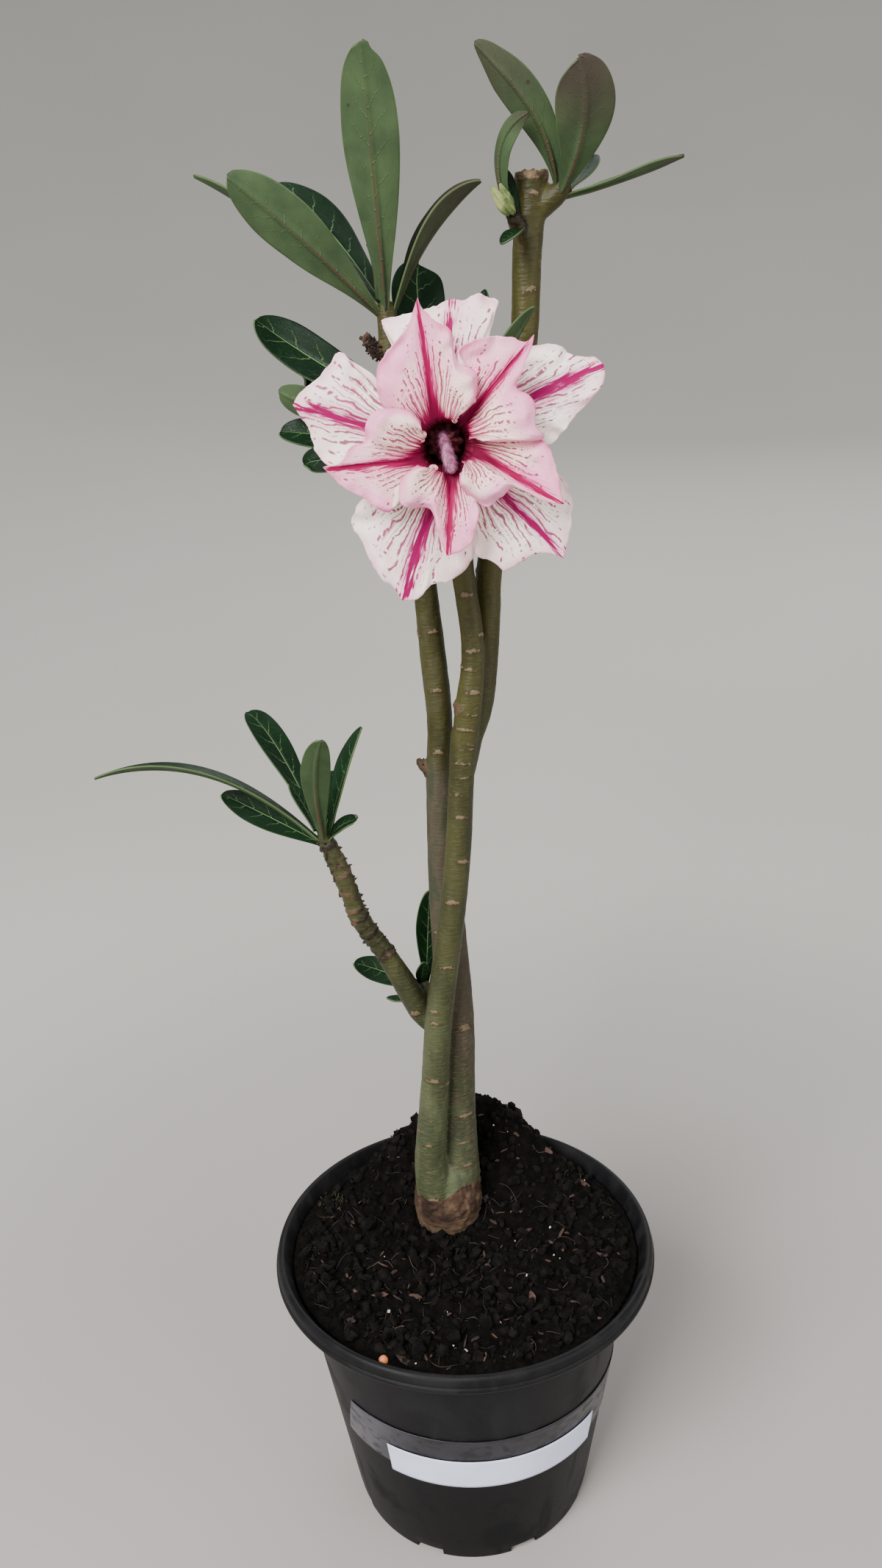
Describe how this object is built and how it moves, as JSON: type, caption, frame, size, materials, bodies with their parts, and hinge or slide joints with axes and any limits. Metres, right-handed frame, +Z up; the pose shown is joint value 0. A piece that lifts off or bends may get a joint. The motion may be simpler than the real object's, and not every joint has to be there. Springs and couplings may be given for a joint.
{
  "type": "potted desert rose",
  "caption": "Potted desert rose: slender grafted stems with glossy spoon-shaped leaves and a double striped flower, standing in a tapered nursery pot of dark soil.",
  "frame": {"origin": "centre of the pot's flat base, in the plane that it stands on", "axes": "+Z up along the stems, -Y towards the side that the flower and the label face, +X to the right seen from that side"},
  "size_m": [0.2071, 0.1532, 0.5406],
  "materials": {
    "pot_plastic": "matt black moulded plastic, dusty",
    "soil": "moist dark peat with fibres and bark chips",
    "stem_skin": "smooth olive-green skin with pale leaf scars",
    "clear_tape": "clear tape, greyed by trapped air",
    "label_paper": "bare white paper",
    "outer_petal": "cream petals with a magenta stripe and fine veins",
    "inner_petal": "pink petals with a magenta stripe and fine veins",
    "anther": "hairy lilac plume",
    "green_bud": "fresh green with reddish tips",
    "leaf": "leathery, glossy dark green above and matt pale green below"
  },
  "bodies": {
    "root": {"pot": "pot_plastic", "soil": "soil", "stems": "stem_skin", "tape": "clear_tape", "label": "label_paper", "outer_corolla": "outer_petal", "inner_corolla": "inner_petal", "anther_plume": "anther", "calyx": "green_bud", "flower_buds": "green_bud", "crown_leaf_1": "leaf", "crown_leaf_2": "leaf", "crown_leaf_3": "leaf", "crown_leaf_4": "leaf", "crown_leaf_5": "leaf", "crown_leaf_6": "leaf", "rosette_leaf_1": "leaf", "rosette_leaf_2": "leaf", "rosette_leaf_3": "leaf", "rosette_leaf_4": "leaf", "rosette_leaf_5": "leaf", "rosette_leaf_6": "leaf", "rosette_leaf_7": "leaf", "rosette_leaf_8": "leaf", "top_leaf_1": "leaf", "top_leaf_2": "leaf", "top_leaf_3": "leaf", "top_leaf_4": "leaf", "top_leaf_5": "leaf", "bud_leaf_1": "leaf", "bud_leaf_2": "leaf", "bud_leaf_3": "leaf", "side_leaf_1": "leaf", "side_leaf_2": "leaf", "side_leaf_3": "leaf", "side_leaf_4": "leaf", "side_leaf_5": "leaf", "side_leaf_6": "leaf", "side_leaf_7": "leaf", "side_leaf_8": "leaf", "axil_leaf_1": "leaf", "axil_leaf_2": "leaf", "axil_leaf_3": "leaf", "axil_leaf_4": "leaf"}
  },
  "joints": []
}
